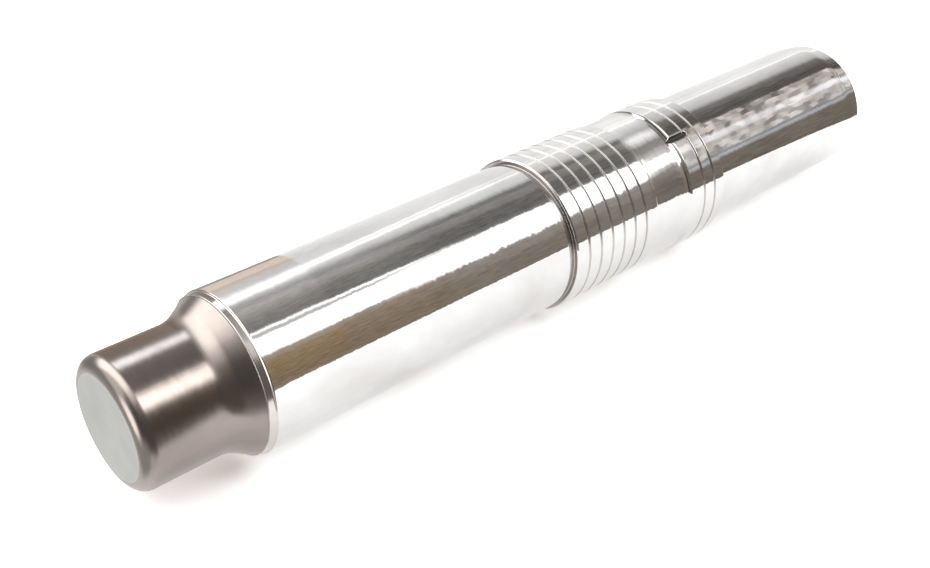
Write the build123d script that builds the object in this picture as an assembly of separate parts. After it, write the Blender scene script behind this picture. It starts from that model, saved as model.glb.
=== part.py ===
from build123d import *
from math import cos, radians, sin, sqrt, tan
import os

# Stepped shaft: the piston of a hydraulic breaker, turned and ground from one bar of steel.
#
# It stands on its plain upper end. +Z runs along the axis towards the nose that strikes the
# tool, and the origin is the centre of the upper end face. Millimetres throughout.
# From the ground up it has an upper rod, a grooved land with a control recess in the middle,
# a lower rod, and a flared nose. The notch in the land faces the front, -Y.

# ---- Lower rod, the diameter that the others step from ----
lower_rod_dia = 100.0
lower_rod_len = 228.5      # land to the lead-in cone, relief included
relief_width = 4.5         # grinding relief under the land
relief_depth = 0.8

# ---- Upper rod ----
upper_rod_step = 4.25      # land surface down to this rod, on the radius
upper_rod_len = 176.0      # end face to the land
end_chamfer = 1.0          # broken corner of the end face
lead_in_len = 15.0         # shallow taper that guides the rod into its bush
lead_in_drop = 1.6         # what the taper takes off the radius
upper_root_rad = 2.0       # fillet where the rod meets the land

# ---- Grooved land ----
land_step = 2.75           # lower rod surface up to the land, on the radius
land_chamfer = 1.0         # outer corners of the land
groove_pitch = 11.0        # shoulder to first groove, and groove to groove
lower_groove_count = 6
upper_groove_count = 2
groove_width = 2.0         # oil grooves with sloped sides and a flat bottom
groove_floor = 0.8
groove_depth = 0.8
lower_strip = 11.5         # plain strip between the lower grooves and the recess
upper_strip = 13.0         # plain strip between the recess and the upper grooves

# ---- Control recess in the land ----
recess_len = 36.5
recess_depth = 1.25
recess_ramp_rad = 12.0     # hollow run-out on the upper side of the recess
recess_lead = 1.5          # short cone on its lower side

# ---- Notch that joins the recess to the nearest upper groove ----
notch_cutter_dia = 6.0     # ball-nosed cutter
notch_depth = 1.3
notch_overrun = 0.5        # cutter centre past the middle of the groove

# ---- Nose ----
cone_len = 4.5             # ground lead-in cone at the end of the lower rod
cone_drop = 1.7
lip_height = 0.4           # small step between the ground cone and the turned flare
flare_angle = 30.5         # slope of the flare against the axis
flare_rad = 25.0           # hollow that joins the flare to the nose
nose_step = 10.5           # lower rod surface down to the nose, on the radius
nose_len = 73.0            # end of the lower rod to the strike face
nose_edge_rad = 8.0

# ---- Radii that follow from the sizes above ----
lower_rod_r = lower_rod_dia / 2
relief_r = lower_rod_r - relief_depth
cone_r = lower_rod_r - cone_drop
flare_r = cone_r - lip_height
nose_r = lower_rod_r - nose_step
land_r = lower_rod_r + land_step
recess_r = land_r - recess_depth
upper_rod_r = land_r - upper_rod_step
lead_in_r = upper_rod_r - lead_in_drop

# ---- Heights that follow, from the ground up ----
upper_land_len = upper_groove_count * groove_pitch + upper_strip
lower_land_len = lower_groove_count * groove_pitch + lower_strip
ramp_len = sqrt(recess_ramp_rad**2 - (recess_ramp_rad - recess_depth) ** 2)
z_land_bottom = upper_rod_len
z_recess_bottom = z_land_bottom + upper_land_len
z_ramp = z_recess_bottom + ramp_len
z_recess_top = z_recess_bottom + recess_len
z_land_top = z_recess_top + lower_land_len
z_rod_top = z_land_top + lower_rod_len
z_cone_top = z_rod_top + cone_len
z_strike_face = z_rod_top + nose_len

# The flare leaves the lip as a straight slope and turns into the nose through a hollow.
flare = radians(flare_angle)
hollow_r = nose_r + flare_rad * (1 - cos(flare))
z_hollow = z_cone_top + (flare_r - hollow_r) / tan(flare)
z_nose = z_hollow + flare_rad * sin(flare)


def turned_body():
    """The bar as turned and ground: one half section, hollows included, spun about the axis."""
    with BuildSketch(Plane.XZ) as half_section:
        with BuildLine():
            Polyline(
                (0, 0),
                (lead_in_r, 0),
                (upper_rod_r, lead_in_len),
                (upper_rod_r, z_land_bottom),
                (land_r, z_land_bottom),
                (land_r, z_recess_bottom),
            )
            RadiusArc((land_r, z_recess_bottom), (recess_r, z_ramp), recess_ramp_rad)
            Polyline(
                (recess_r, z_ramp),
                (recess_r, z_recess_top - recess_lead),
                (land_r, z_recess_top),
                (land_r, z_land_top),
                (relief_r, z_land_top),
                (relief_r, z_land_top + relief_width),
                (lower_rod_r, z_land_top + relief_width),
                (lower_rod_r, z_rod_top),
                (cone_r, z_cone_top),
                (flare_r, z_cone_top),
                (hollow_r, z_hollow),
            )
            RadiusArc((hollow_r, z_hollow), (nose_r, z_nose), flare_rad)
            Polyline((nose_r, z_nose), (nose_r, z_strike_face), (0, z_strike_face), (0, 0))
        make_face()
    return revolve(half_section.sketch, Axis.Z)


def rim(body, radius, height):
    """The circular edge of that radius at that height."""
    circles = body.edges().filter_by(GeomType.CIRCLE)
    return [e for e in circles if abs(e.radius - radius) < 0.01 and abs(e.arc_center.Z - height) < 0.01]


def broken_edges(body):
    """Round the nose, fillet the root of the upper rod and break the corners of the land."""
    body = fillet(rim(body, nose_r, z_strike_face), nose_edge_rad)
    body = fillet(rim(body, upper_rod_r, z_land_bottom), upper_root_rad)
    land_corners = rim(body, land_r, z_land_bottom) + rim(body, land_r, z_land_top)
    body = chamfer(land_corners, land_chamfer)
    return chamfer(rim(body, lead_in_r, 0), end_chamfer)


def oil_grooves():
    """Rings of the groove tool's section, one pitch apart, counted inwards from each end of the land."""
    with BuildSketch(Plane.XZ) as tool:
        with BuildLine():
            Polyline(
                (land_r - groove_depth, -groove_floor / 2),
                (land_r, -groove_width / 2),
                (land_r + groove_depth, -groove_width / 2),
                (land_r + groove_depth, groove_width / 2),
                (land_r, groove_width / 2),
                (land_r - groove_depth, groove_floor / 2),
                close=True,
            )
        make_face()
    ring = revolve(tool.sketch, Axis.Z)
    up = [z_land_bottom + (i + 1) * groove_pitch for i in range(upper_groove_count)]
    down = [z_land_top - (i + 1) * groove_pitch for i in range(lower_groove_count)]
    return [Pos(0, 0, z) * ring for z in up + down]


def notch():
    """Path of the ball-nosed cutter, from the recess run-out to just past the upper groove."""
    cutter_r = notch_cutter_dia / 2
    cutter_y = -(land_r - notch_depth + cutter_r)
    z_start = z_land_bottom + upper_groove_count * groove_pitch - notch_overrun
    path = Cylinder(cutter_r, z_ramp - z_start, align=(Align.CENTER, Align.CENTER, Align.MIN))
    ball = Sphere(cutter_r)
    return Pos(0, cutter_y, z_start) * (path + ball + Pos(0, 0, z_ramp - z_start) * ball)


stepped_shaft = broken_edges(turned_body())
for groove in oil_grooves():
    stepped_shaft -= groove
stepped_shaft -= notch()

os.makedirs("parts", exist_ok=True)
export_step(stepped_shaft, "parts/stepped_shaft.step")
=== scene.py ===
# %% [markdown]
# # A breaker piston in ground steel
#
# The object is the piston of a hydraulic breaker: one bar of steel, turned, then ground bright
# where it runs in its bushes, and left as turned on the nose that strikes the tool. This notebook
# dresses the solid that the CAD made. The solid gives the place and the outer size. The cells
# below draw its skin again, finely enough for mirror-like reflections, give each zone its own
# steel, and light it in a small studio.

import math

import bpy
import numpy as np
from mathutils import Matrix, Vector


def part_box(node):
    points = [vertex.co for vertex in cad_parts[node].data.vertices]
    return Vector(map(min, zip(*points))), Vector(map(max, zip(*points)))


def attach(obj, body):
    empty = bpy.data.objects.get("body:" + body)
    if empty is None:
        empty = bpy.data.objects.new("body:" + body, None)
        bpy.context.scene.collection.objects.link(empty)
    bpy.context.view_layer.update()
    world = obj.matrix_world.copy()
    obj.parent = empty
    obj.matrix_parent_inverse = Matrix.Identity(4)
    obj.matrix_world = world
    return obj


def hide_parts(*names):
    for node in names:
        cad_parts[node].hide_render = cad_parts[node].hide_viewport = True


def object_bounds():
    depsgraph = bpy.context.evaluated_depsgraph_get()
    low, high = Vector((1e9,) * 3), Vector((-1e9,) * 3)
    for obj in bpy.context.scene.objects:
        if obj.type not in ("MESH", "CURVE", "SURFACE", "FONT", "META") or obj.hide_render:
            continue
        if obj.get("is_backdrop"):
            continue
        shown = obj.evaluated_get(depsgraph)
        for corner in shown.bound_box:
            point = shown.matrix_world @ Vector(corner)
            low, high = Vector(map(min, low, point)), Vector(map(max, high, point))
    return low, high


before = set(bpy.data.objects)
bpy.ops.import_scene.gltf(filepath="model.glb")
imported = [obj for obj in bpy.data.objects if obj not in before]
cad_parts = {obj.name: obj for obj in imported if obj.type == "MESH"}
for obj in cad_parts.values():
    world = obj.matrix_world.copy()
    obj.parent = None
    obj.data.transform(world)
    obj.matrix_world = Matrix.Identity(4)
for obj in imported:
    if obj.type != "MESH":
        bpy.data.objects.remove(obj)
cad_box = [list(corner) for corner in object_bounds()]
low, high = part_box("stepped_shaft")
print("the solid stands from", round(low.z, 4), "to", round(high.z, 4), "m")

# %% [markdown]
# ## Sizes
#
# A turned part is a list of diameters and lengths. The overall height and the widest diameter are
# read from the solid. The other sizes are the shop dimensions of the same part, in millimetres,
# written once here and used by name. One function turns millimetres into Blender's metres.

# %% Name the sizes
def mm(length):
    """Millimetres to metres."""
    return length * 0.001


height = high.z
land_r = (high.x - low.x) / 2
rod_r = land_r - mm(2.75)
relief_r = rod_r - mm(0.8)
recess_r = land_r - mm(1.25)
upper_r = land_r - mm(4.25)
lead_in_r = upper_r - mm(1.6)
cone_r = rod_r - mm(1.4)
flare_r = cone_r - mm(0.7)
nose_r = rod_r - mm(10.5)

nose_len, nose_edge, cone_len = mm(73), mm(8), mm(4.5)
rod_edge, flare_angle, flare_rad = mm(0.6), math.radians(30.5), mm(25)
relief_len, lower_rod_len = mm(4.5), mm(228.5)
lead_in_len, root_rad, broken = mm(15), mm(2), mm(1)
pitch, groove_width, groove_floor, groove_depth = mm(11), mm(2), mm(0.8), mm(0.8)
lower_grooves, upper_grooves = 6, 2
lower_strip, upper_strip = mm(11.5), mm(13)
recess_len, recess_lead, ramp_rad = mm(36.5), mm(1.5), mm(12)
cutter_r, notch_depth, notch_overrun = mm(3), mm(1.3), mm(0.5)

rod_top = height - nose_len
cone_top = rod_top + cone_len
land_top = rod_top - lower_rod_len
recess_top = land_top - lower_grooves * pitch - lower_strip
recess_bottom = recess_top - recess_len
land_bottom = recess_bottom - upper_grooves * pitch - upper_strip
ramp_angle = math.acos(1 - (land_r - recess_r) / ramp_rad)
ramp_top = recess_bottom + ramp_rad * math.sin(ramp_angle)
groove_heights = [land_bottom + (i + 1) * pitch for i in range(upper_grooves)]
groove_heights += [land_top - (i + 1) * pitch for i in reversed(range(lower_grooves))]
print("the land runs from", round(land_bottom, 4), "to", round(land_top, 4), "m")

# %% [markdown]
# ## The half section
#
# A lathe sees a part as one outline of radius against height. The facets of the solid would break
# up a mirror finish, so the outline is written again as a short list of corners, each with the
# radius that rounds it, and a helper fills in the arcs. A sharp corner of real steel is never
# quite sharp: a few tenths of a millimetre of rounding are what catches the light. The ground rod
# ends in a broken edge, a shallow lead-in cone and a small lip before the hollow flare.

# %% Write the corners and round them
def rounded(corners, spacing=mm(9)):
    """Outline of corners (radius, height, rounding), with each corner turned into an arc.

    The arc touches both runs at rounding * tan(half the turn) from the corner, and its points are
    mixes of the two spokes, sin(turn - t) and sin(t) of each. A guard point just outside each end
    keeps smooth shading from spreading along the run. Long runs get rings at the spacing.
    """
    pts = np.array([c[:2] for c in corners])
    out = [pts[:1]]
    for before, here, after, (_, _, rounding) in zip(pts, pts[1:], pts[2:], corners[1:]):
        back = (before - here) / np.linalg.norm(before - here)
        on = (after - here) / np.linalg.norm(after - here)
        turn = math.pi - math.acos(np.clip(back @ on, -1, 1))
        reach = rounding * math.tan(turn / 2)
        centre = here + (back + on) / np.linalg.norm(back + on) * math.hypot(reach, rounding)
        count = max(2, round(math.degrees(turn) * rounding / mm(60)))
        t = np.linspace(0, turn, count + 1)[:, None]
        spokes = np.sin(turn - t) * (here + back * reach - centre) + np.sin(t) * (here + on * reach - centre)
        arc = centre + spokes / math.sin(turn)
        guard_in = min(mm(0.25), 0.3 * np.linalg.norm(before - arc[0]))
        guard_out = min(mm(0.25), 0.3 * np.linalg.norm(after - arc[-1]))
        out += [arc[:1] + back * guard_in, arc, arc[-1:] + on * guard_out]
    out = np.vstack(out + [pts[-1:]])
    run = np.linalg.norm(np.diff(out, axis=0), axis=1)
    cuts = [np.linspace(a, b, int(n) + 1)[:-1] for a, b, n in zip(out, out[1:], run // spacing + 1)]
    out = np.vstack(cuts + [out[-1:]])
    keep = np.r_[True, np.linalg.norm(np.diff(out, axis=0), axis=1) > mm(0.01)]
    return out[keep]


def groove(at):
    """Corners of one oil groove: sloped sides and a flat bottom, centred on a height."""
    deep = land_r - groove_depth
    edge, floor = groove_width / 2, groove_floor / 2
    return [
        (land_r, at - edge, mm(0.15)),
        (deep, at - floor, mm(0.15)),
        (deep, at + floor, mm(0.15)),
        (land_r, at + edge, mm(0.15)),
    ]


upper_land = [corner for at in groove_heights[:upper_grooves] for corner in groove(at)]
lower_land = [corner for at in groove_heights[upper_grooves:] for corner in groove(at)]
ramp_corner = ramp_top - ramp_rad * math.tan(ramp_angle / 2)
hollow_r = nose_r + flare_rad * (1 - math.cos(flare_angle))
nose_start = cone_top + (flare_r - hollow_r) / math.tan(flare_angle) + flare_rad * math.sin(flare_angle)
corners = [
    (0, 0, 0),
    (lead_in_r - broken, 0, mm(0.3)),
    (lead_in_r + mm(0.1), broken, mm(0.3)),
    (upper_r, lead_in_len, mm(60)),
    (upper_r, land_bottom, root_rad),
    (land_r - broken, land_bottom, mm(0.25)),
    (land_r, land_bottom + broken, mm(0.25)),
    *upper_land,
    (land_r, recess_bottom, mm(0.6)),
    (recess_r, ramp_corner, ramp_rad * 0.98),
    (recess_r, recess_top - recess_lead, mm(0.5)),
    (land_r, recess_top, mm(0.2)),
    *lower_land,
    (land_r, land_top - broken, mm(0.25)),
    (land_r - broken, land_top, mm(0.25)),
    (relief_r, land_top, mm(0.5)),
    (relief_r, land_top + relief_len, mm(0.3)),
    (rod_r, land_top + relief_len, mm(0.25)),
    (rod_r, rod_top, mm(0.4)),
    (rod_r - 1.5 * rod_edge, rod_top + rod_edge, mm(0.4)),
    (cone_r, cone_top, mm(0.35)),
    (flare_r, cone_top, mm(0.2)),
    (nose_r, nose_start - flare_rad * math.tan(flare_angle / 2), flare_rad),
    (nose_r, height, nose_edge),
    (0, height, 0),
]
outline = rounded(corners)
print("the outline has", len(outline), "points from", len(corners), "corners")

# %% [markdown]
# ## The skin
#
# Spinning the outline gives the whole bar. The notch beside the recess is not round the axis: a
# ball-nosed cutter ran along the bar there. Because the skin is a radius for every height and
# direction, the cut is easy to add in the same grid: the radius is the smaller of the outline and
# of the distance at which a ray from the axis meets the cutter. The grid is finer across the notch.

# %% Spin the outline and cut the notch
def notch_distance(heights, angles):
    """Distance from the axis to the cutter's path, along a ray at each height and angle.

    The path is a round bar of the cutter's radius with a ball at each end, so a slice of it is a
    circle whose radius shrinks past the ends as sqrt(cutter^2 - overshoot^2). A ray at an angle a
    from the front meets that circle at d cos a - sqrt(slice^2 - (d sin a)^2).
    """
    d = land_r - notch_depth + cutter_r
    first, last = groove_heights[upper_grooves - 1] - notch_overrun, ramp_top
    overshoot = np.maximum(0, np.maximum(first - heights, heights - last))
    piece = cutter_r**2 - overshoot**2
    off = angles + math.pi / 2
    inside = piece - (d * np.sin(off)) ** 2
    hit = d * np.cos(off) - np.sqrt(np.maximum(inside, 0))
    return np.where((inside > 0) & (piece > 0) & (np.cos(off) > 0), hit, np.inf)


def spin(points, angles):
    """Closed skin of (radius, height) points at the angles: x = r cos a, y = r sin a, z = height.

    The first and last points lie on the axis and become one vertex each, joined by fans.
    """
    radius, z = points[1:-1, 0][:, None], points[1:-1, 1][:, None]
    a = angles[None, :]
    r = np.minimum(radius, notch_distance(z, a))
    rings = np.stack([r * np.cos(a), r * np.sin(a), np.broadcast_to(z, r.shape)], -1)
    rows, columns = r.shape
    poles = [[0, 0, points[0, 1]], [0, 0, points[-1, 1]]]
    verts = np.vstack([rings.reshape(-1, 3), poles])
    index = np.arange(rows * columns).reshape(rows, columns)
    beside = np.roll(index, -1, axis=1)
    quads = np.stack([index[:-1], beside[:-1], beside[1:], index[1:]], -1).reshape(-1, 4)
    bottom, top = rows * columns, rows * columns + 1
    fan_low = np.stack([beside[0], index[0], np.full(columns, bottom)], -1)
    fan_high = np.stack([index[-1], beside[-1], np.full(columns, top)], -1)
    return verts, quads, np.vstack([fan_low, fan_high])


def fine_rows(points, start, end, step):
    """The outline with extra rows between two heights, so that the notch has a clean edge."""
    extra = np.arange(start, end, step)
    radius = np.interp(extra, points[1:-1, 1], points[1:-1, 0])
    gap = np.abs(extra[:, None] - points[None, :, 1]).min(axis=1)
    extra = np.stack([radius, extra], -1)[gap > step * 0.4]
    both = np.vstack([points, extra])
    place = np.r_[np.arange(len(points)), np.searchsorted(points[:-1, 1], extra[:, 1]) - 0.5]
    return both[np.argsort(place, kind="stable")]


half_notch = math.asin(cutter_r / land_r) * 1.05
coarse = np.linspace(half_notch, 2 * math.pi - half_notch, 168)
across = np.linspace(-half_notch, half_notch, 34)[1:-1]
angles = np.r_[across, coarse] - math.pi / 2
notch_low = groove_heights[upper_grooves - 1] - notch_overrun - cutter_r
section = fine_rows(outline, notch_low - mm(0.4), ramp_top + cutter_r, mm(0.35))
verts, quads, fans = spin(section, angles)
print("the skin has", len(verts), "vertices and", 2 * len(quads) + len(fans), "triangles")

# %% [markdown]
# ## Zones
#
# One bar, many finishes. Each face takes its finish from where it lies: its middle radius and
# height say whether it is on a ground journal, in a groove, in the turned recess or on the nose.
# `np.select` reads like the shop's list, and the first line that fits wins.

# %% Sort the faces into finishes
finishes = [
    "ground journal",
    "ground land",
    "turned recess",
    "oil groove",
    "milled notch",
    "grinding relief",
    "ground cone",
    "turned nose",
    "strike face",
    "end face",
]


def finish_of(faces):
    """Number of the finish of each face, from the mean radius and height of its corners."""
    places = verts[faces]
    z = places[..., 2].mean(axis=1)
    r = np.hypot(places[..., 0], places[..., 1]).mean(axis=1)
    direction = np.arctan2(places[..., 1].mean(axis=1), places[..., 0].mean(axis=1))
    cut = notch_distance(z, direction) < r + mm(0.02)
    near = np.abs(z[:, None] - np.array(groove_heights)).min(axis=1)
    rules = [
        (z < mm(0.02), "end face"),
        (z > height - mm(0.02), "strike face"),
        (z > cone_top, "turned nose"),
        (z > rod_top, "ground cone"),
        (z > land_top + relief_len, "ground journal"),
        (z > land_top - mm(0.02), "grinding relief"),
        (cut & (z > land_bottom), "milled notch"),
        ((near < groove_width / 2) & (r < land_r - mm(0.04)), "oil groove"),
        ((z > recess_bottom) & (z < recess_top - mm(0.1)), "turned recess"),
        (z > land_bottom, "ground land"),
        (z >= 0, "ground journal"),
    ]
    return np.select([rule for rule, _ in rules], [finishes.index(name) for _, name in rules])


skin = bpy.data.meshes.new("piston_skin")
skin.from_pydata(verts.tolist(), [], quads.tolist() + fans.tolist())
numbers = np.r_[finish_of(quads), finish_of(fans)].astype(np.int32)
skin.polygons.foreach_set("material_index", numbers)
skin.polygons.foreach_set("use_smooth", np.ones(len(numbers), bool))
skin.update()
piston = bpy.data.objects.new("piston", skin)
bpy.context.scene.collection.objects.link(piston)
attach(piston, "root")
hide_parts("stepped_shaft")
print("faces of each finish:", dict(zip(finishes, np.bincount(numbers, minlength=len(finishes)).tolist())))

# %% [markdown]
# ## Marks that several steels share
#
# Turning and grinding both leave fine lines round the bar, stroke and handling leave soft streaks
# along it, and oil dries in patches. These are noise, stretched the way the tool moved. A grinding
# wheel also leaves the surface very slightly wavy, which makes the edges of reflections waver, so
# one more group leans the normal to and fro. Each is a node group built once, with its own
# sockets, and every steel below places it with its own values.

# %% Build the shared groups
def add(tree, kind, at=(0, 0), inputs=(), **settings):
    """A node with its settings and its unlinked input values."""
    node = tree.nodes.new(kind)
    node.location = at
    for name, value in settings.items():
        setattr(node, name, value)
    for name, value in dict(inputs).items():
        node.inputs[name].default_value = value
    return node


def group(name, sockets, output, kind="NodeSocketFloat"):
    """An empty group with float inputs (name: value) and one output of a kind."""
    tree = bpy.data.node_groups.new(name, "ShaderNodeTree")
    for label, value in sockets.items():
        made = tree.interface.new_socket(label, in_out="INPUT", socket_type="NodeSocketFloat")
        made.default_value = value
    tree.interface.new_socket(output, in_out="OUTPUT", socket_type=kind)
    return tree, add(tree, "NodeGroupInput", (-900, 0)), add(tree, "NodeGroupOutput", (800, 0))


def stretched(tree, given, detail, rough):
    """Noise on object coordinates, scaled by Around across the bar and by Along along it."""
    place = add(tree, "ShaderNodeTexCoord", (-900, -200))
    scale = add(tree, "ShaderNodeCombineXYZ", (-650, 0))
    stretch = add(tree, "ShaderNodeVectorMath", (-450, -100), operation="MULTIPLY")
    noise = add(tree, "ShaderNodeTexNoise", (-200, 0), {"Scale": 1.0, "Detail": detail, "Roughness": rough})
    link = tree.links.new
    link(given.outputs["Around"], scale.inputs["X"])
    link(given.outputs["Around"], scale.inputs["Y"])
    link(given.outputs["Along"], scale.inputs["Z"])
    link(place.outputs["Object"], stretch.inputs[0])
    link(scale.outputs[0], stretch.inputs[1])
    link(stretch.outputs[0], noise.inputs["Vector"])
    return noise


def stretched_noise(name, output, around, along, detail=3.0, rough=0.55):
    """Group: one stretched noise as a value, with a little distortion."""
    tree, given, result = group(name, {"Around": around, "Along": along, "Waver": 0.3}, output)
    noise = stretched(tree, given, detail, rough)
    tree.links.new(given.outputs["Waver"], noise.inputs["Distortion"])
    tree.links.new(noise.outputs["Fac"], result.inputs[output])
    return tree


def sideways_waver():
    """Group: the normal leaned to and fro round the bar by noise.

    The lean is tangent * tilt * (noise - 0.5), where the tangent is the axis crossed with the normal.
    """
    sockets = {"Around": 30.0, "Along": 320.0, "Tilt": 0.05}
    tree, given, result = group("Grinding waver", sockets, "Normal", "NodeSocketVector")
    noise = stretched(tree, given, 4.0, 0.65)
    facing = add(tree, "ShaderNodeNewGeometry", (-900, -500))
    centred = add(tree, "ShaderNodeMath", (0, 0), operation="SUBTRACT", inputs={1: 0.5})
    lean = add(tree, "ShaderNodeMath", (150, 0), operation="MULTIPLY")
    tangent = add(tree, "ShaderNodeVectorMath", (-450, -400), {0: (0, 0, 1)}, operation="CROSS_PRODUCT")
    push = add(tree, "ShaderNodeVectorMath", (300, -100), operation="SCALE")
    total = add(tree, "ShaderNodeVectorMath", (450, -200), operation="ADD")
    unit = add(tree, "ShaderNodeVectorMath", (600, -200), operation="NORMALIZE")
    link = tree.links.new
    link(noise.outputs["Fac"], centred.inputs[0])
    link(centred.outputs[0], lean.inputs[0])
    link(given.outputs["Tilt"], lean.inputs[1])
    link(facing.outputs["Normal"], tangent.inputs[1])
    link(tangent.outputs[0], push.inputs[0])
    link(lean.outputs[0], push.inputs["Scale"])
    link(facing.outputs["Normal"], total.inputs[0])
    link(push.outputs[0], total.inputs[1])
    link(total.outputs[0], unit.inputs[0])
    link(unit.outputs[0], result.inputs["Normal"])
    return tree


waver = sideways_waver()
tool_lines = stretched_noise("Lines round the bar", "Lines", 12.0, 1600.0)
long_streaks = stretched_noise("Streaks along the bar", "Streaks", 260.0, 9.0)
soft_patches = stretched_noise("Dried oil patches", "Patches", 22.0, 16.0, 4.0, 0.6)
print("shared groups:", [tree.name for tree in bpy.data.node_groups])

# %% [markdown]
# ## The steels
#
# Bare steel is a metal: its colour is the colour of what it reflects, a little darker and warmer.
# What tells one finish from another is how sharp the reflection is and which way it smears. Every
# steel here is one Principled shader with the shared marks feeding its colour, its roughness and
# its normal, and a table of values gives each zone its character. The journals are nearly mirrors,
# the recess keeps some of its turning, and the nose is darker, warmer and satin. In the grooves, the
# grinding relief and the milled notch the steel is painted darker, as painted shade in these hollows.

# %% Make one steel for each finish
def steel(name, colour, stain, rough, vary, smear, lines, line_depth, streak_depth, tilt):
    """A bare steel: colour and stain, roughness and its range, smear along the bar, lines per
    metre, the depths of the lines and of the streaks in metres, and the waver's tilt."""
    material = bpy.data.materials.new(name)
    material.use_nodes = True
    tree = material.node_tree
    link = tree.links.new
    shader = tree.nodes["Principled BSDF"]
    shader.inputs["Metallic"].default_value = 1.0
    shader.inputs["Anisotropic"].default_value = smear
    shader.inputs["Anisotropic Rotation"].default_value = 0.25
    turned = add(tree, "ShaderNodeGroup", (-900, 200), node_tree=tool_lines)
    turned.inputs["Along"].default_value = lines
    streaks = add(tree, "ShaderNodeGroup", (-900, 0), node_tree=long_streaks)
    patches = add(tree, "ShaderNodeGroup", (-900, -200), node_tree=soft_patches)
    tint = add(tree, "ShaderNodeMix", (-300, 300), data_type="RGBA")
    tint.inputs[6].default_value, tint.inputs[7].default_value = (*colour, 1), (*stain, 1)
    spread = add(tree, "ShaderNodeMapRange", (-600, -200), {"From Min": 0.35, "From Max": 0.7})
    gloss = add(tree, "ShaderNodeMapRange", (-300, 0), {"To Min": rough - vary, "To Max": rough + vary})
    both = add(tree, "ShaderNodeMath", (-600, 0), operation="ADD")
    half = add(tree, "ShaderNodeMath", (-450, 0), operation="MULTIPLY", inputs={1: 0.5})
    fine = add(tree, "ShaderNodeBump", (-300, -300), {"Distance": line_depth, "Strength": 1.0})
    broad = add(tree, "ShaderNodeBump", (-100, -400), {"Distance": streak_depth, "Strength": 1.0})
    wheel = add(tree, "ShaderNodeGroup", (-600, -500), node_tree=waver)
    wheel.inputs["Tilt"].default_value = tilt
    link(patches.outputs[0], spread.inputs["Value"])
    link(spread.outputs[0], tint.inputs[0])
    link(tint.outputs[2], shader.inputs["Base Color"])
    link(turned.outputs[0], both.inputs[0])
    link(patches.outputs[0], both.inputs[1])
    link(both.outputs[0], half.inputs[0])
    link(half.outputs[0], gloss.inputs["Value"])
    link(gloss.outputs[0], shader.inputs["Roughness"])
    link(turned.outputs[0], fine.inputs["Height"])
    link(streaks.outputs[0], broad.inputs["Height"])
    link(wheel.outputs["Normal"], fine.inputs["Normal"])
    link(fine.outputs[0], broad.inputs["Normal"])
    link(broad.outputs[0], shader.inputs["Normal"])
    return material


bright, pale, hollow_shade_and_stain = (0.80, 0.795, 0.79), (0.68, 0.665, 0.65), (0.40, 0.36, 0.325)
# The grooves and the grinding relief are painted darker than bare steel: painted shade in these hollows. The
# third grey on the line above is the same painted shade, darker still where the dried-oil patches lie.
groove_painted_shade, relief_painted_shade = (0.62, 0.6, 0.58), (0.5, 0.47, 0.45)
# The milled notch is painted near black, far darker than bare steel: painted shade for the inside of the
# cut. Its dried-oil patches are darker again.
notch_painted_shade, notch_shade_and_stain = (0.1, 0.097, 0.09), (0.06, 0.058, 0.052)
cone_tone, cone_stain = (0.7, 0.665, 0.635), (0.6, 0.56, 0.53)
nose_tone, nose_stain = (0.37, 0.325, 0.295), (0.3, 0.255, 0.23)
face_tone, face_stain = (0.66, 0.67, 0.64), (0.58, 0.585, 0.56)
end_tone, end_stain = (0.62, 0.6, 0.58), (0.5, 0.48, 0.46)
steels = {
    "ground journal": (bright, pale, 0.02, 0.012, 0.3, 1600, 1e-8, 7e-6, 0.04),
    "ground land": (bright, pale, 0.025, 0.012, 0.3, 1600, 1e-8, 7e-6, 0.05),
    "turned recess": (bright, pale, 0.05, 0.02, 0.4, 900, 3e-7, 2e-6, 0.09),
    "oil groove": (groove_painted_shade, hollow_shade_and_stain, 0.24, 0.05, 0.5, 3000, 3e-6, 1e-6, 0.05),
    "milled notch": (notch_painted_shade, notch_shade_and_stain, 0.55, 0.05, 0.2, 2000, 8e-6, 4e-6, 0.05),
    "grinding relief": (relief_painted_shade, hollow_shade_and_stain, 0.25, 0.05, 0.5, 2500, 4e-6, 1e-6, 0.05),
    "ground cone": (cone_tone, cone_stain, 0.15, 0.03, 0.3, 2600, 1e-6, 1e-6, 0.04),
    "turned nose": (nose_tone, nose_stain, 0.25, 0.06, 0.3, 1400, 6e-6, 6e-6, 0.05),
    "strike face": (face_tone, face_stain, 0.55, 0.05, 0.0, 10, 1e-6, 2e-6, 0.0),
    "end face": (end_tone, end_stain, 0.35, 0.05, 0.0, 10, 1e-6, 2e-6, 0.0),
}
for finish in finishes:
    skin.materials.append(steel(finish, *steels[finish]))
print("steels:", [material.name for material in skin.materials])

# %% [markdown]
# ## The camera
#
# The bar is modelled standing, but its picture is taken with it lying on a table. So the camera is
# placed against the bar's own axis: some way over it and to one side, looking down along it, and
# rolled so that the table under the bar is level in the view.

# %% Place the camera
roll_from_front = math.radians(33.1)
up = Vector((math.sin(roll_from_front), -math.cos(roll_from_front), 0))
side = Vector((math.cos(roll_from_front), math.sin(roll_from_front), 0))
axis = Vector((0, 0, 1))

camera_data = bpy.data.cameras.new("studio camera")
camera_data.lens = 47.48
camera_data.sensor_width = 36
camera = bpy.data.objects.new("studio camera", camera_data)
bpy.context.scene.collection.objects.link(camera)
bpy.context.scene.camera = camera

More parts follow.
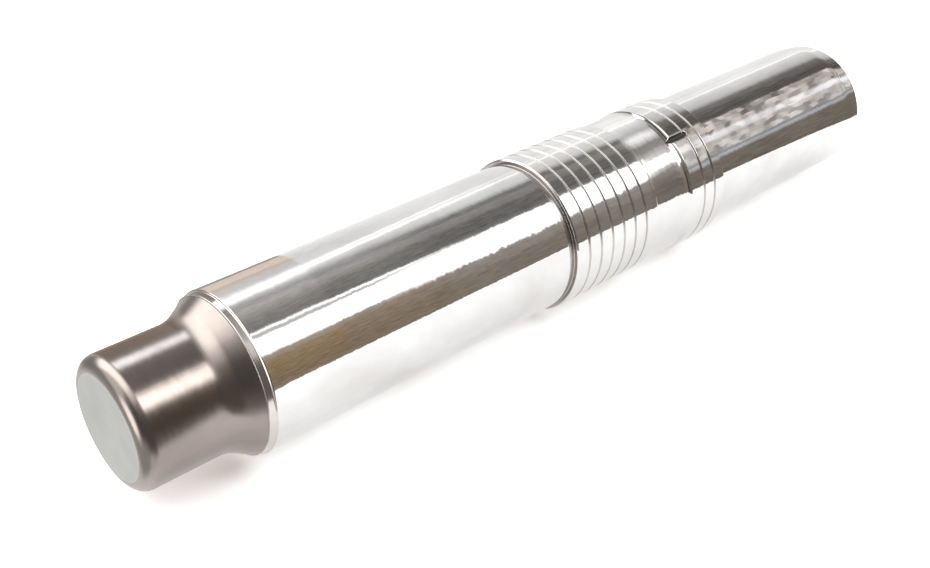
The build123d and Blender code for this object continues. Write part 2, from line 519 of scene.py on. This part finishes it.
over_axis, aside, past_rod = 0.4042, 0.4990, 0.2720
eye = up * over_axis - side * aside + axis * (rod_top + past_rod)
pitch_down, heading = math.radians(32.03), math.radians(42.1)
level = side * math.cos(heading) - axis * math.sin(heading)
forward = level * math.cos(pitch_down) - up * math.sin(pitch_down)
above = level * math.sin(pitch_down) + up * math.cos(pitch_down)
right = forward.cross(above)
turn = Matrix((right, above, -forward)).transposed()
camera.matrix_world = Matrix.Translation(eye) @ turn.to_4x4()
camera_data.clip_start, camera_data.clip_end = 0.01, 50
print("the camera stands", round(eye.length, 3), "m from the origin")

# %% [markdown]
# ## The table
#
# The table is one plain sheet along the bar, just under its widest part. It is stage, so it never
# counts as part of the piston. Its paper is matt and takes the bar's shadow. The camera sees the
# same paper in a lighter tone, so that it comes out white, and mirror rays see a faint glow on it,
# so that the steel shows it pale too. In the steel the sheet shows only as far as a real one would
# reach, with one corner cut askew, and from behind it is clear, so that the bar can be seen from
# every side.

# %% Lay the table
table_level = -land_r - mm(0.3)
reach, lines = 6.0, 13
ticks = np.linspace(-reach, reach, lines)
grid_u, grid_v = np.meshgrid(ticks, ticks, indexing="ij")
across_and_along = np.outer(grid_u.ravel(), np.array(side)) + np.outer(grid_v.ravel(), np.array(axis))
points = across_and_along + np.array(up) * table_level
cell = np.arange(lines**2).reshape(lines, lines)
squares = np.stack([cell[:-1, :-1], cell[:-1, 1:], cell[1:, 1:], cell[1:, :-1]], -1).reshape(-1, 4)
sheet = bpy.data.meshes.new("table")
sheet.from_pydata(points.tolist(), [], squares.tolist())
sheet.update()
if Vector(sheet.polygons[0].normal).dot(up) < 0:
    sheet.flip_normals()
table = bpy.data.objects.new("table", sheet)
bpy.context.scene.collection.objects.link(table)
table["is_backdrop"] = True
print("the table lies", round(-table_level, 4), "m under the axis")

# %% Give it paper
def maths(tree, operation, a, b, at=(0, 0)):
    """One Math node; each side is a socket or a number."""
    node = add(tree, "ShaderNodeMath", at, operation=operation)
    for slot, value in zip(node.inputs, (a, b)):
        if isinstance(value, (int, float)):
            slot.default_value = value
        else:
            tree.links.new(value, slot)
    return node.outputs[0]


paper = bpy.data.materials.new("white table")
paper.use_nodes = True
tree = paper.node_tree
link = tree.links.new
tree.nodes.clear()
seen = add(tree, "ShaderNodeLightPath", (-1300, 300))
facing = add(tree, "ShaderNodeNewGeometry", (-1300, -200))
spot = add(tree, "ShaderNodeTexCoord", (-1700, 0))
across = add(tree, "ShaderNodeVectorMath", (-1500, 0), operation="DOT_PRODUCT", inputs={1: side})
along = add(tree, "ShaderNodeVectorMath", (-1500, -200), operation="DOT_PRODUCT", inputs={1: axis})
link(spot.outputs["Object"], across.inputs[0])
link(spot.outputs["Object"], along.inputs[0])
mirror = maths(tree, "MAXIMUM", seen.outputs["Is Glossy Ray"], seen.outputs["Is Transmission Ray"])
sheet_width, sheet_length = (-0.63, 0.2), (-0.175, 0.63)
corner_slope, corner_start = 1.5, 0.26


def outside(value, span):
    """1 where a value is outside a span: further from its middle than half its width."""
    off = maths(tree, "ABSOLUTE", maths(tree, "SUBTRACT", value, sum(span) / 2), 0.0)
    return maths(tree, "GREATER_THAN", off, (span[1] - span[0]) / 2)


off_side = outside(across.outputs["Value"], sheet_width)
off_end = outside(along.outputs["Value"], sheet_length)
rise = maths(tree, "MULTIPLY", along.outputs["Value"], corner_slope)
askew = maths(tree, "SUBTRACT", rise, across.outputs["Value"])
off_corner = maths(tree, "GREATER_THAN", askew, corner_slope * corner_start - sheet_width[0])
off_edge = maths(tree, "MAXIMUM", off_side, off_end)
off_sheet = maths(tree, "MULTIPLY", maths(tree, "MAXIMUM", off_edge, off_corner), mirror)
hidden = maths(tree, "MAXIMUM", off_sheet, facing.outputs["Backfacing"])
paper_colour, camera_colour, mirror_glow = (0.62, 0.62, 0.62, 1), (1.3, 1.3, 1.3, 1), 0.54
matt = add(tree, "ShaderNodeBsdfDiffuse", (-250, 200), {"Color": paper_colour})
glow = add(tree, "ShaderNodeEmission", (-250, 50))
extra = add(tree, "ShaderNodeBsdfDiffuse", (-250, -100), {"Color": camera_colour})
for_mirrors = add(tree, "ShaderNodeAddShader", (-100, 200))
for_camera = add(tree, "ShaderNodeAddShader", (-50, 100))
as_seen = add(tree, "ShaderNodeMixShader", (150, 200))
clear = add(tree, "ShaderNodeBsdfTransparent", (150, 0))
choose = add(tree, "ShaderNodeMixShader", (350, 100))
out = add(tree, "ShaderNodeOutputMaterial", (550, 100))
link(maths(tree, "MULTIPLY", mirror, mirror_glow), glow.inputs["Strength"])
link(matt.outputs[0], for_mirrors.inputs[0])
link(glow.outputs[0], for_mirrors.inputs[1])
link(matt.outputs[0], for_camera.inputs[0])
link(extra.outputs[0], for_camera.inputs[1])
link(seen.outputs["Is Camera Ray"], as_seen.inputs[0])
link(for_mirrors.outputs[0], as_seen.inputs[1])
link(for_camera.outputs[0], as_seen.inputs[2])
link(hidden, choose.inputs[0])
link(as_seen.outputs[0], choose.inputs[1])
link(clear.outputs[0], choose.inputs[2])
link(choose.outputs[0], out.inputs["Surface"])
sheet.materials.append(paper)
print("as a mirror image the sheet ends at", sheet_width, "across and", sheet_length, "along")

# %% [markdown]
# ## The studio
#
# A polished bar shows its room as long bands, because a cylinder turns every reflection into a
# stripe. So the studio is described the way the bar sees it: what stands at each angle round the
# axis, in degrees from straight up, with the camera's side positive. A level under 1 is a wall or
# a dark ceiling and a level over 1 is a lamp. The room is also different along the bar, so there
# are several such lists, from the shelves at the far end to the ceiling over the nose.

# %% Describe the room in bands
def grey(level, warmth=0.0):
    """A grey of that level, warmer for a positive warmth."""
    return (level * (1 + warmth), level, level * (1 - warmth))


far_shelves = [
    (-180, grey(0.78)), (-130, grey(1.0)), (-62, grey(1.0)), (-46, grey(0.85)),
    (-31, grey(0.66)), (-27, grey(0.48)), (-22, grey(0.22, 0.05)), (-8, grey(0.13, 0.08)),
    (4, grey(0.11, 0.08)), (7, grey(0.9, 0.06)), (20, grey(0.85, 0.07)), (28, grey(0.8, 0.06)),
    (33, grey(1.3)), (40, grey(1.15)), (43, grey(0.9, 0.05)), (62, grey(0.85, 0.03)),
    (66, grey(0.32, -0.02)), (69, grey(0.6, -0.04)), (72, grey(0.5, -0.03)), (75, grey(0.2, 0.16)),
    (125, grey(0.15, 0.18)), (140, grey(0.5)), (180, grey(0.78)),
]
far_gaps = [
    (-180, grey(0.78)), (-130, grey(1.0)), (-62, grey(1.0)), (-46, grey(0.85)),
    (-31, grey(0.66)), (-27, grey(0.48)), (-22, grey(0.22, 0.05)), (-8, grey(0.13, 0.08)),
    (1, grey(0.1, 0.08)), (5, grey(0.16, 0.1)), (28, grey(0.2, 0.08)), (33, grey(0.8)),
    (40, grey(0.7)), (43, grey(0.3, 0.08)), (62, grey(0.32, 0.05)), (66, grey(0.3, -0.02)),
    (69, grey(0.55, -0.04)), (72, grey(0.45, -0.03)), (75, grey(0.18, 0.16)), (125, grey(0.15, 0.18)),
    (140, grey(0.5)), (180, grey(0.78)),
]
beyond = [
    (-180, grey(0.78)), (-130, grey(1.0)), (-62, grey(0.95)), (-46, grey(0.85)),
    (-31, grey(0.75)), (-22, grey(0.6, 0.04)), (3, grey(0.6, 0.05)), (8, grey(0.7, 0.05)),
    (28, grey(0.7, 0.05)), (35, grey(0.95)), (42, grey(0.9)), (46, grey(0.6, 0.06)),
    (62, grey(0.5, 0.06)), (74, grey(0.3, 0.12)), (110, grey(0.2, 0.15)), (140, grey(0.5)),
    (180, grey(0.78)),
]
by_the_recess = [
    (-180, grey(0.78)), (-130, grey(0.95)), (-100, grey(0.9)), (-80, grey(1.1)), (-60, grey(1.15)),
    (-55, grey(1.1)), (-46, grey(0.98)), (-38, grey(0.82)), (-30, grey(0.66)), (-25, grey(0.62)),
    (-20, grey(0.95)), (-14, grey(1.3)), (-8, grey(1.1)), (-2, grey(0.7, 0.04)), (3, grey(0.34, 0.05)),
    (12, grey(0.34, 0.05)), (18, grey(0.6)), (28, grey(0.75, 0.03)), (34, grey(3.0)), (43, grey(3.0)),
    (48, grey(0.7, 0.05)), (54, grey(0.28, 0.1)), (66, grey(0.2, 0.12)), (78, grey(0.16, 0.12)),
    (96, grey(0.2, 0.1)), (110, grey(0.2, 0.1)), (135, grey(0.6)), (180, grey(0.78)),
]
middle = [
    (-180, grey(0.78)), (-130, grey(1.05)), (-100, grey(1.0)), (-60, grey(0.96)), (-45, grey(0.95)),
    (-31, grey(0.8)), (-27, grey(0.6)), (-22, grey(0.24)), (-18, grey(0.22)),
    (-15, grey(0.3, 0.04)), (-6, grey(0.27, 0.04)), (-2, grey(0.18, 0.04)), (14, grey(0.16, 0.04)),
    (20, grey(0.22, 0.03)), (23, grey(0.4)), (25, grey(3.0)), (52, grey(3.0)), (56, grey(0.34, 0.09)),
    (68, grey(0.29, 0.12)), (74, grey(0.22, 0.16)), (110, grey(0.22, 0.16)), (135, grey(0.6)),
    (180, grey(0.78)),
]
near_end = [
    (-180, grey(0.78)), (-130, grey(1.1)), (-100, grey(1.0)), (-88, grey(0.95)), (-72, grey(0.85)),
    (-60, grey(0.88)), (-45, grey(0.9)), (-34, grey(0.85)), (-25, grey(0.45)), (-20, grey(0.38)),
    (-12, grey(0.44, 0.05)), (-6, grey(0.36, 0.05)), (0, grey(0.25, 0.03)), (15, grey(0.22, 0.03)),
    (19, grey(0.24)), (22, grey(2.4)), (24, grey(0.6)), (26, grey(0.6)), (29, grey(3.0)),
    (48, grey(3.0)), (52, grey(0.4, 0.16)), (60, grey(0.26, 0.26)), (68, grey(0.24, 0.3)),
    (85, grey(0.2, 0.3)), (110, grey(0.25, 0.2)), (135, grey(0.6)), (180, grey(0.78)),
]
doorway = [
    (-180, grey(0.78)), (-132, grey(0.95)), (-121, grey(0.85)), (-116, grey(0.62)), (-110, grey(0.42, 0.08)),
    (-100, grey(0.32, 0.16)), (-97, grey(0.66, 0.15)), (-84, grey(0.72, 0.15)), (-78, grey(0.76, 0.17)),
    (-72, grey(0.6, 0.16)), (-64, grey(0.7, 0.06)), (-54, grey(0.76)), (-48, grey(1.0)), (-34, grey(1.1)),
    (-27, grey(0.6)), (-22, grey(0.44)), (-14, grey(0.52, 0.05)), (-6, grey(0.4, 0.05)),
    (2, grey(0.3, 0.03)), (12, grey(0.25, 0.04)), (18, grey(0.28)), (21, grey(2.2)), (24, grey(0.6)),
    (27, grey(0.7)), (30, grey(3.0)), (47, grey(3.0)), (53, grey(0.4, 0.15)), (61, grey(0.26, 0.38)),
    (70, grey(0.22, 0.42)), (90, grey(0.19, 0.36)), (135, grey(0.6)), (180, grey(0.78)),
]
by_the_nose = [
    (-180, grey(0.9)), (-130, grey(1.2)), (-115, grey(0.8, 0.08)), (-105, grey(0.42, 0.16)),
    (-95, grey(0.3, 0.2)), (-60, grey(0.25, 0.2)), (-50, grey(0.22, 0.12)), (-43, grey(3.9, -0.1)),
    (-32, grey(3.9, -0.1)), (-26, grey(0.12)), (-10, grey(0.05)), (20, grey(0.05)),
    (31, grey(5.6, 0.0)), (46, grey(5.6, 0.0)), (53, grey(0.2, 0.12)), (66, grey(0.05, 0.12)),
    (110, grey(0.05, 0.12)), (130, grey(0.6)), (180, grey(0.9)),
]
past_the_nose = [
    (-180, grey(0.9)), (-130, grey(1.0)), (-100, grey(0.85, 0.05)), (-70, grey(0.72, 0.06)),
    (-50, grey(0.42, 0.06)), (-36, grey(0.3, 0.1)), (-12, grey(0.42, 0.05)), (20, grey(0.5, 0.04)),
    (38, grey(0.3, 0.08)), (64, grey(0.15, 0.12)), (110, grey(0.14, 0.1)), (130, grey(0.6)),
    (180, grey(0.9)),
]
above_the_nose = [
    (-180, grey(1.3)), (-125, grey(1.1)), (-105, grey(0.4)), (-76, grey(0.35)), (-62, grey(3.2)),
    (-6, grey(3.2)), (4, grey(2.8)), (14, grey(1.9)), (24, grey(1.5)), (32, grey(0.8)),
    (42, grey(0.36, 0.05)), (52, grey(0.25, 0.1)), (64, grey(0.14, 0.1)), (112, grey(0.14, 0.1)),
    (130, grey(1.0)), (180, grey(1.3)),
]
overhead = [
    (-180, grey(0.6)), (-110, grey(0.6)), (-75, grey(0.4)), (-55, grey(1.3)), (-5, grey(1.3)),
    (12, grey(0.4)), (40, grey(0.12)), (90, grey(0.12)), (130, grey(0.6)), (180, grey(0.6)),
]

# %% [markdown]
# ## The room as light
#
# A world shader answers one question: what does a ray see that leaves in this direction? Two
# numbers are enough here. `around` is the angle round the bar, as a share of a turn, and `depth`
# is how far the ray leans along the bar. The camera stands near the bar, so one ring of the bar
# doesn't reflect quite one lean. The difference is a shallow bow, and `depth` has it taken out, so
# that an edge in the room shows as a clean ring on the steel.

# %% Read a ray's direction
world = bpy.data.worlds.new("studio")
bpy.context.scene.world = world
world.use_nodes = True
tree = world.node_tree
link = tree.links.new
tree.nodes.clear()
look = add(tree, "ShaderNodeTexCoord", (-2300, 0))
parts = add(tree, "ShaderNodeSeparateXYZ", (-2100, 0))
link(look.outputs["Generated"], parts.inputs[0])
lean = parts.outputs["Z"]
bearing = maths(tree, "ARCTAN2", parts.outputs["Y"], parts.outputs["X"], (-1900, 100))
turned_by = maths(tree, "ADD", bearing, math.pi / 2 - roll_from_front, (-1700, 100))
half_turn = {"From Min": math.pi, "From Max": -math.pi}
place = add(tree, "ShaderNodeMapRange", (-1500, 100), half_turn, clamp=False)
link(turned_by, place.inputs["Value"])
around = maths(tree, "FRACT", place.outputs[0], 0.0, (-1300, 100))
bow_middle, bow_height = 0.653, 0.109
from_middle = maths(tree, "ABSOLUTE", maths(tree, "SUBTRACT", around, bow_middle), 0.0)
bow = maths(tree, "POWER", from_middle, 2.0)
depth = maths(tree, "SUBTRACT", lean, maths(tree, "MULTIPLY", bow, bow_height), (-1100, 200))
print("the bow's middle is", round(360 * bow_middle - 180), "degrees from straight up")


def room_spot(along_scale, around_scale, at):
    """Depth and around as one vector, each stretched by its own scale, for a pattern in the room."""
    spot = add(tree, "ShaderNodeCombineXYZ", at)
    link(maths(tree, "MULTIPLY", depth, along_scale), spot.inputs["X"])
    link(maths(tree, "MULTIPLY", around, around_scale), spot.inputs["Y"])
    return spot.outputs[0]


# %% [markdown]
# Grinding marks fray the edges of a reflection. On the real bar this shows most along the lower
# edge of the soft lamp, in the middle of the bar. A bump that frays this one edge would fray every
# other one too, so the room itself is frayed: noise pushes `around` a little, only in that part.

# %% Fray the lamp's lower edge
def soft_step(value, start, end, at):
    """0 before the start and 1 after the end, with a smooth slope between."""
    step = add(tree, "ShaderNodeMapRange", at, {"From Min": start, "From Max": end})
    step.interpolation_type = "SMOOTHSTEP"
    link(value, step.inputs["Value"])
    return step.outputs[0]


fray_reach = 0.06
fray = add(tree, "ShaderNodeTexNoise", (-1100, -300), {"Scale": 1.0, "Detail": 4.0, "Roughness": 0.65})
link(room_spot(420.0, 14.0, (-1300, -300)), fray.inputs["Vector"])
fray_size = maths(tree, "SUBTRACT", fray.outputs["Fac"], 0.5, (-900, -300))
low_side = soft_step(around, 0.56, 0.63, (-1100, -500))
past_near_end = soft_step(depth, -0.46, -0.60, (-1100, -700))
before_far_end = soft_step(depth, -0.72, -0.70, (-1100, -850))
where = maths(tree, "MULTIPLY", low_side, past_near_end)
where = maths(tree, "MULTIPLY", where, before_far_end, (-900, -500))
fray_size = maths(tree, "MULTIPLY", fray_size, where, (-700, -300))
frayed = maths(tree, "MULTIPLY_ADD", fray_size, fray_reach, (-500, 0))
link(around, frayed.node.inputs[2])
print("the fray moves an edge by up to", round(180 * fray_reach, 1), "degrees either way")

# %% [markdown]
# Each list becomes a colour ramp over `around`, and each room gives way to the next over a short
# span of depth: sharply where something in the room has an edge, softly elsewhere. The far shelves
# are a Voronoi pattern of square blocks, each at random between the lit list and the dark one.

# %% Put the rooms one behind the other
def ramp(at, stops):
    """Colour ramp from (degrees round the axis from straight up, colour) stops."""
    node = add(tree, "ShaderNodeValToRGB", at)
    marks = node.color_ramp.elements
    while len(marks) < len(stops):
        marks.new(0.5)
    for mark, (angle, colour) in zip(marks, stops):
        mark.position = (angle + 180) / 360
        mark.color = (*colour, 1)
    return node


def blended(factor, a, b, at):
    """One colour over another by a factor. Sockets 6 and 7 of a Mix node are its two colours."""
    node = add(tree, "ShaderNodeMix", at, data_type="RGBA")
    link(factor, node.inputs[0])
    link(a, node.inputs[6])
    link(b, node.inputs[7])
    return node.outputs[2]


blocks = add(tree, "ShaderNodeTexVoronoi", (-1100, 500), {"Scale": 1.0, "Randomness": 0.75})
blocks.voronoi_dimensions, blocks.distance = "2D", "CHEBYCHEV"
link(room_spot(290.0, 44.0, (-1300, 500)), blocks.inputs["Vector"])
block_tone = add(tree, "ShaderNodeSeparateColor", (-900, 500))
link(blocks.outputs["Color"], block_tone.inputs[0])

rooms = [far_shelves, far_gaps, beyond, by_the_recess, middle, near_end, doorway]
rooms += [by_the_nose, past_the_nose, above_the_nose, overhead]
seen_as = []
for number, stops in enumerate(rooms):
    bands = ramp((-300, 900 - 300 * number), stops)
    link(frayed, bands.inputs[0])
    seen_as.append(bands.outputs["Color"])
room_starts = [(-0.91, -0.94), (-0.7205, -0.7185), (-0.70, -0.698), (-0.60, -0.50), (-0.481, -0.478)]
room_starts += [(-0.412, -0.39), (-0.28, -0.20), (-0.12, -0.06), (0.46, 0.56)]
colour = blended(block_tone.outputs[0], seen_as[1], seen_as[0], (0, 900))
for number, ((start, end), bands) in enumerate(zip(room_starts, seen_as[2:])):
    step = soft_step(depth, start, end, (0, 600 - 300 * number))
    colour = blended(step, colour, bands, (200, 600 - 300 * number))
print("the rooms have", [len(stops) for stops in rooms], "bands")

# %% [markdown]
# A real room is never plain, and dark steel shows it: faint clutter, drawn out along the bar, is
# added to every wall. The ceiling tubes are thin lines that run askew to the bar, so their
# reflections drift across it. Each is written as where it starts, how far it slants, its width
# in degrees, and its glow at the near and the far end.

# %% Add the clutter and the ceiling tubes
clutter = add(tree, "ShaderNodeTexNoise", (-1100, -900), {"Scale": 1.0, "Detail": 5.0, "Roughness": 0.7})
link(room_spot(90.0, 210.0, (-1300, -900)), clutter.inputs["Vector"])
shade = add(tree, "ShaderNodeMapRange", (-900, -900), {"From Min": 0.3, "From Max": 0.7, "To Min": -0.08})
shade.inputs["To Max"].default_value = 0.09
link(clutter.outputs["Fac"], shade.inputs["Value"])
shaded = add(tree, "ShaderNodeVectorMath", (300, 1200), operation="ADD")
link(colour, shaded.inputs[0])
link(shade.outputs[0], shaded.inputs[1])
colour = shaded.outputs[0]

tubes = [(-37, 58, 3.0, 1.6, 0.3), (-41, 84, 1.8, 0.8, 0.1), (-39, 64, 11.0, 0.42, 0.1)]
start_lean = -0.42
for number, (start, slant, width, near_glow, far_glow) in enumerate(tubes):
    line = maths(tree, "MULTIPLY_ADD", lean, -slant / 360, (400, 900 - 300 * number))
    line.node.inputs[2].default_value = -(start + 180 - slant * start_lean) / 360
    off = maths(tree, "ABSOLUTE", maths(tree, "ADD", around, line, (600, 900 - 300 * number)), 0.0)
    edge = soft_step(off, width / 360, 0.2 * width / 360, (800, 900 - 300 * number))
    glow = add(tree, "ShaderNodeMapRange", (800, 750 - 300 * number), {"From Min": -0.62, "From Max": -0.44})
    glow.inputs["To Min"].default_value, glow.inputs["To Max"].default_value = far_glow, near_glow
    link(lean, glow.inputs["Value"])
    below = soft_step(lean, -0.36, -0.39, (800, 600 - 300 * number))
    strength = maths(tree, "MULTIPLY", maths(tree, "MULTIPLY", edge, glow.outputs[0]), below, (1000, 800))
    lighter = add(tree, "ShaderNodeMix", (1200, 900 - 300 * number), data_type="RGBA", blend_type="ADD")
    lighter.inputs[7].default_value = (1, 1, 1, 1)
    link(strength, lighter.inputs[0])
    link(colour, lighter.inputs[6])
    colour = lighter.outputs[2]
print("ceiling tubes:", len(tubes))

# %% [markdown]
# One small lamp stands past the nose, in line with the bar, for the rounded rim. Rays from the
# camera itself see plain white, and all other rays see the room.

# %% Add the end lamp and light the world
lamp_colour = (3.0, 3.0, 2.9, 1)
end_lamp = add(tree, "ShaderNodeMix", (1400, 600), data_type="RGBA")
end_lamp.inputs[7].default_value = lamp_colour
link(soft_step(lean, 0.93, 0.97, (1200, 300)), end_lamp.inputs[0])
link(colour, end_lamp.inputs[6])

lit = add(tree, "ShaderNodeBackground", (1600, 100), {"Strength": 1.0})
plain = add(tree, "ShaderNodeBackground", (1600, -100), {"Color": (1, 1, 1, 1), "Strength": 1.0})
seen = add(tree, "ShaderNodeLightPath", (1600, 500))
choose = add(tree, "ShaderNodeMixShader", (1800, 100))
out = add(tree, "ShaderNodeOutputWorld", (2000, 100))
link(end_lamp.outputs[2], lit.inputs["Color"])
link(seen.outputs["Is Camera Ray"], choose.inputs[0])
link(lit.outputs[0], choose.inputs[1])
link(plain.outputs[0], choose.inputs[2])
link(choose.outputs[0], out.inputs["Surface"])

bpy.context.scene.view_settings.view_transform = "Standard"
print("the world has", len(tree.nodes), "nodes")

# %% [markdown]
# ## Check and finish
#
# The dressed piston must fill the same space as the solid, so both boxes are measured and their
# largest difference is printed.

# %% Compare the boxes and finish
visual_box = [list(corner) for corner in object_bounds()]
apart = float(np.abs(np.array(cad_box) - np.array(visual_box)).max())
print("boxes differ by at most", round(1000 * apart, 3), "mm")
